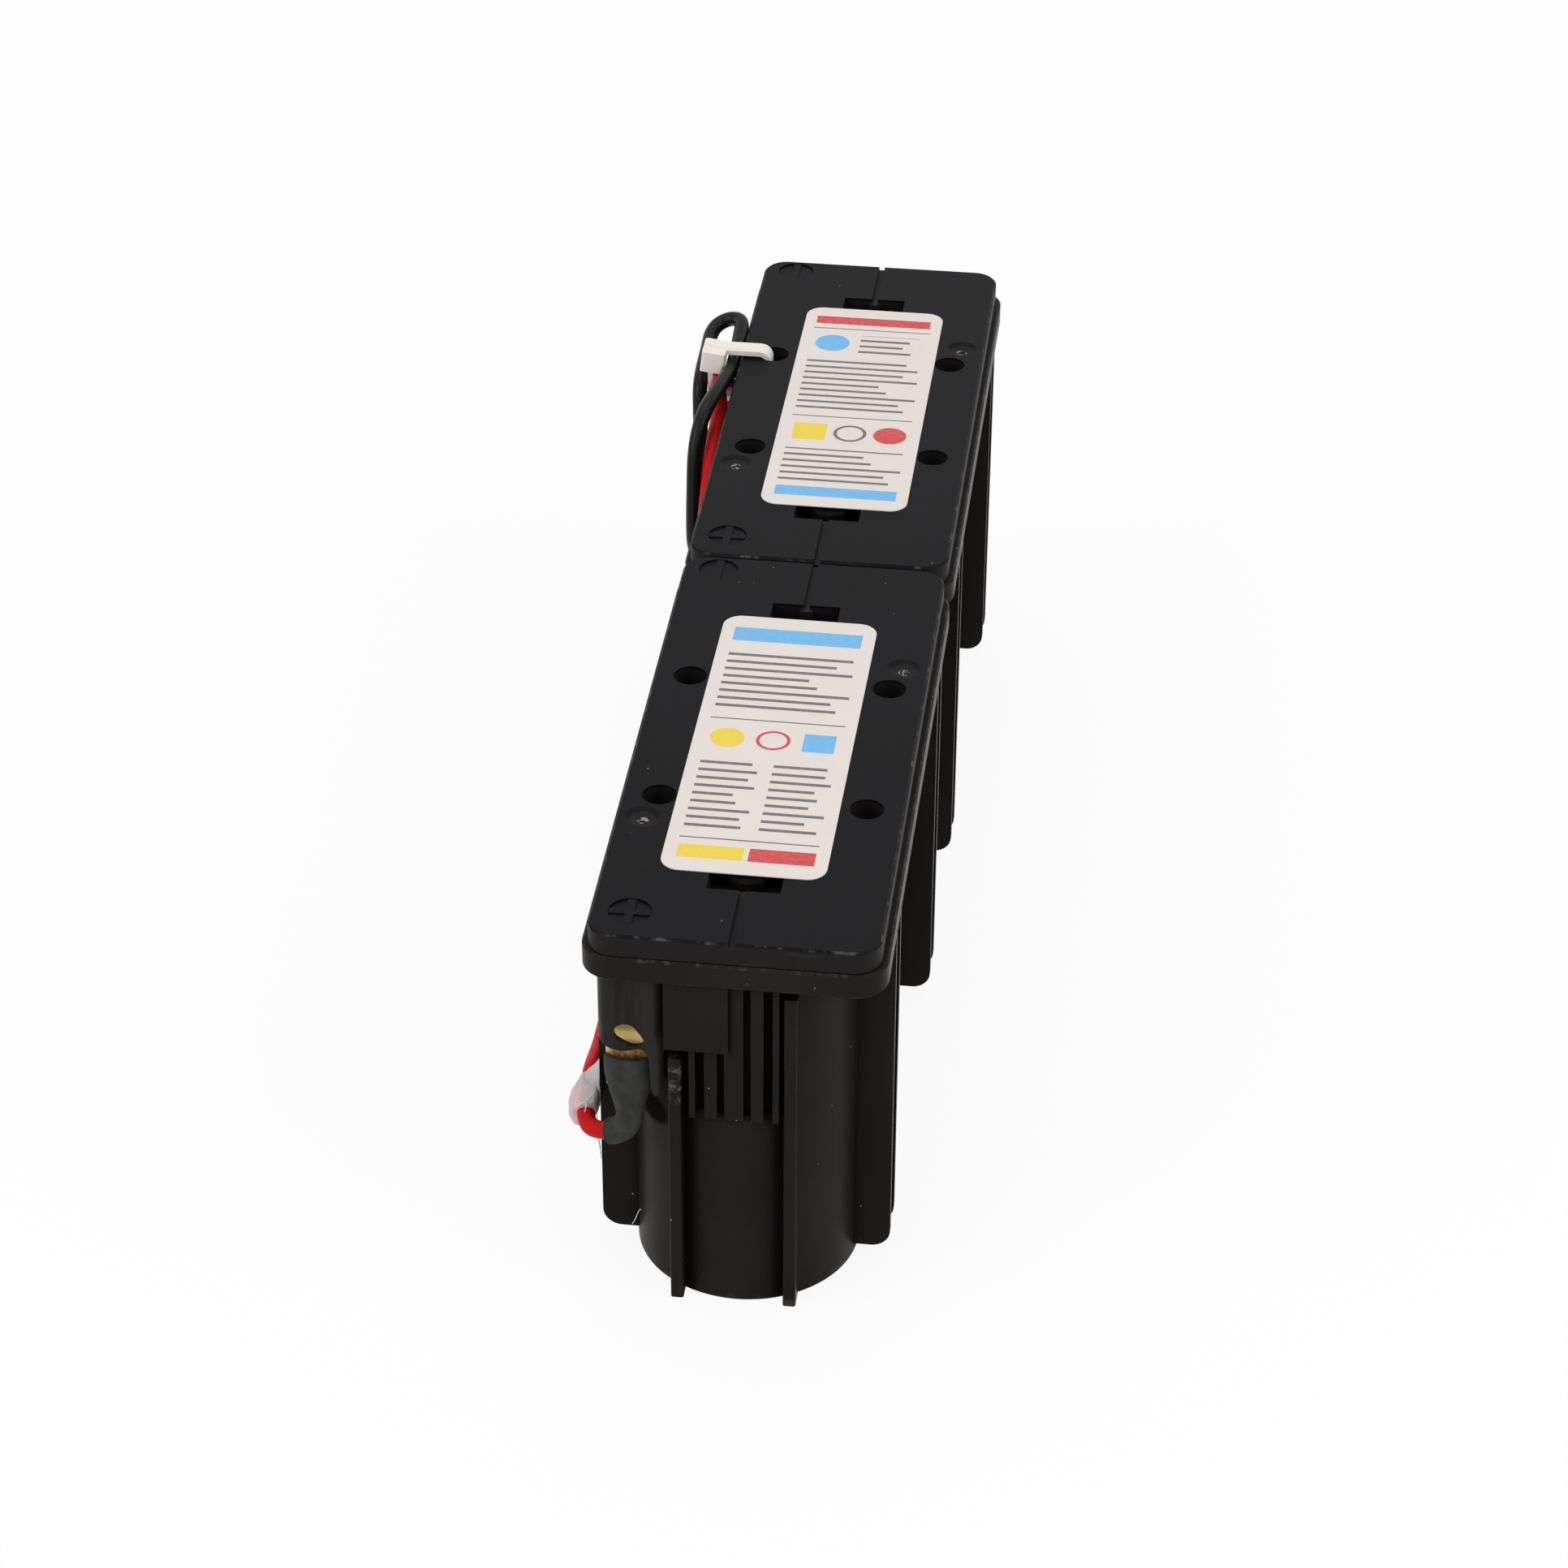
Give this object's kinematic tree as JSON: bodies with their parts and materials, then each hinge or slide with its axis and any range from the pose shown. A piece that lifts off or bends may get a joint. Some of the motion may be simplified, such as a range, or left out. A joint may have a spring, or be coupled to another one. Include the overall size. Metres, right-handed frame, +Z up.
{
  "type": "sealed lead-acid battery pack",
  "caption": "Long black battery pack of round wound cells in flanged blocks with flat screwless lids, hanging tabs and tied red and black flying leads.",
  "frame": {"origin": "middle of the pack's base, under the joint of the two blocks", "axes": "+X to the right seen from the front end, +Y along the row towards the rear block, +Z up through the lids"},
  "size_m": [0.0532, 0.2172, 0.0718],
  "materials": {
    "case_plastic": "semi-gloss moulded black",
    "lid_plastic": "satin moulded dark grey",
    "label_film": "matt cream film",
    "plate_lead": "dull lead and glass mat roll",
    "strap_lead": "cast lead",
    "valve_rubber": "matt black rubber",
    "tab_brass": "pale stamped brass",
    "boot_vinyl": "soft black vinyl",
    "shrink_tube": "matt shrunk tube",
    "red_insulation": "glossy red wire insulation",
    "black_insulation": "glossy black wire insulation",
    "tinned_copper": "tinned strands",
    "tie_nylon": "natural white nylon",
    "hot_glue": "milky hot glue"
  },
  "bodies": {
    "root": {"black_lead": "black_insulation", "black_lead_strands": "tinned_copper", "black_receptacle": "tab_brass", "black_shrink_sleeve": "shrink_tube", "black_terminal_boot": "boot_vinyl", "cable_tie": "tie_nylon", "front_case": "case_plastic", "front_cell_strap_1": "strap_lead", "front_cell_strap_2": "strap_lead", "front_label": "label_film", "front_lid": "lid_plastic", "front_minus_terminal": "tab_brass", "front_plate_roll_1": "plate_lead", "front_plate_roll_2": "plate_lead", "front_plate_roll_3": "plate_lead", "front_plus_terminal": "tab_brass", "front_relief_valve_1": "valve_rubber", "front_relief_valve_2": "valve_rubber", "front_relief_valve_3": "valve_rubber", "glue_bead": "hot_glue", "rear_case": "case_plastic", "rear_cell_strap_1": "strap_lead", "rear_cell_strap_2": "strap_lead", "rear_label": "label_film", "rear_lid": "lid_plastic", "rear_minus_terminal": "tab_brass", "rear_plate_roll_1": "plate_lead", "rear_plate_roll_2": "plate_lead", "rear_plate_roll_3": "plate_lead", "rear_plus_terminal": "tab_brass", "rear_relief_valve_1": "valve_rubber", "rear_relief_valve_2": "valve_rubber", "rear_relief_valve_3": "valve_rubber", "red_lead": "red_insulation", "red_lead_strands": "tinned_copper", "red_receptacle": "tab_brass", "red_shrink_sleeve": "shrink_tube", "red_terminal_boot": "boot_vinyl", "series_link": "tab_brass"}
  },
  "joints": []
}
